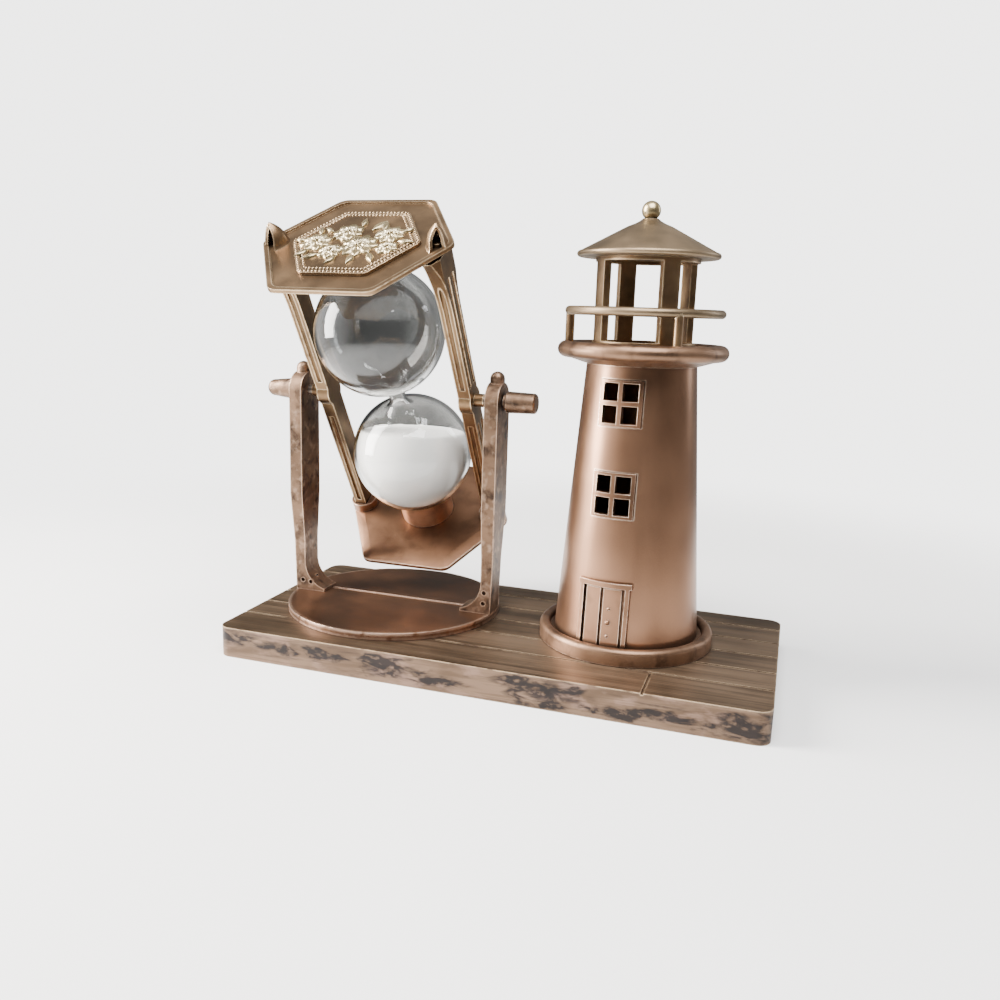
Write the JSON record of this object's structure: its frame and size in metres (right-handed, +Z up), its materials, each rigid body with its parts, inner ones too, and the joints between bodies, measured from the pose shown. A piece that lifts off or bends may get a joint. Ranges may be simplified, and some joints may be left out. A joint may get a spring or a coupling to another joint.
{
  "type": "hourglass ornament",
  "caption": "Bronze desk ornament: a hexagonal-plate sand timer that swings between two uprights, beside a small lighthouse on a plank base.",
  "frame": {"origin": "middle of the base's flat underside, on the table", "axes": "+X along the base from the hourglass to the lighthouse, -Y to the front, +Z up"},
  "size_m": [0.1707, 0.1016, 0.1391],
  "materials": {
    "bronze": "satin antique bronze paint with dark recesses and rubbed bright edges",
    "copper": "satin copper-brown metallic paint",
    "brass_bronze": "satin olive-brass metallic paint",
    "pale_gold": "rubbed pale gold over bronze paint",
    "plank_bronze": "plank-grained bronze paint, worn black and pale copper along the sides",
    "dark_cover": "plain matte dark brown moulding",
    "steel": "plain steel",
    "clear_glass": "clear blown glass",
    "white_sand": "fine matte white sand"
  },
  "bodies": {
    "stand": {"base_board": "plank_bronze", "base_cover": "dark_cover", "cover_screws": "steel", "stand_plate": "copper", "left_upright": "bronze", "right_upright": "bronze", "stand_screws": "steel", "tower_plinth": "copper", "tower_shell": "copper", "upper_window": "copper", "lower_window": "copper", "door_surround": "copper", "front_door": "copper", "tower_screws": "steel", "gallery_deck": "bronze", "lantern_room": "bronze", "gallery_rail": "brass_bronze", "rail_balusters": "bronze", "roof": "brass_bronze", "roof_finial": "pale_gold"},
    "hourglass": {"top_plate": "bronze", "bottom_plate": "copper", "top_panel": "pale_gold", "bottom_panel": "pale_gold", "top_left_claw": "bronze", "top_right_claw": "bronze", "bottom_left_claw": "bronze", "bottom_right_claw": "bronze", "left_bar": "bronze", "right_bar": "bronze", "left_ferrule": "copper", "right_ferrule": "copper", "plate_screws": "bronze", "left_pivot_pin": "steel", "right_pivot_pin": "steel", "left_knob": "bronze", "right_knob": "bronze", "top_glass_seat": "copper", "bottom_glass_seat": "copper", "glass_bulbs": "clear_glass", "sand": "white_sand"}
  },
  "joints": [
    {"name": "hourglass_swing", "type": "hinge", "parent": "stand", "child": "hourglass", "pos_m": [-0.0415, 0.0033, 0.0797], "axis": [1, 0, 0], "continuous": true}
  ]
}
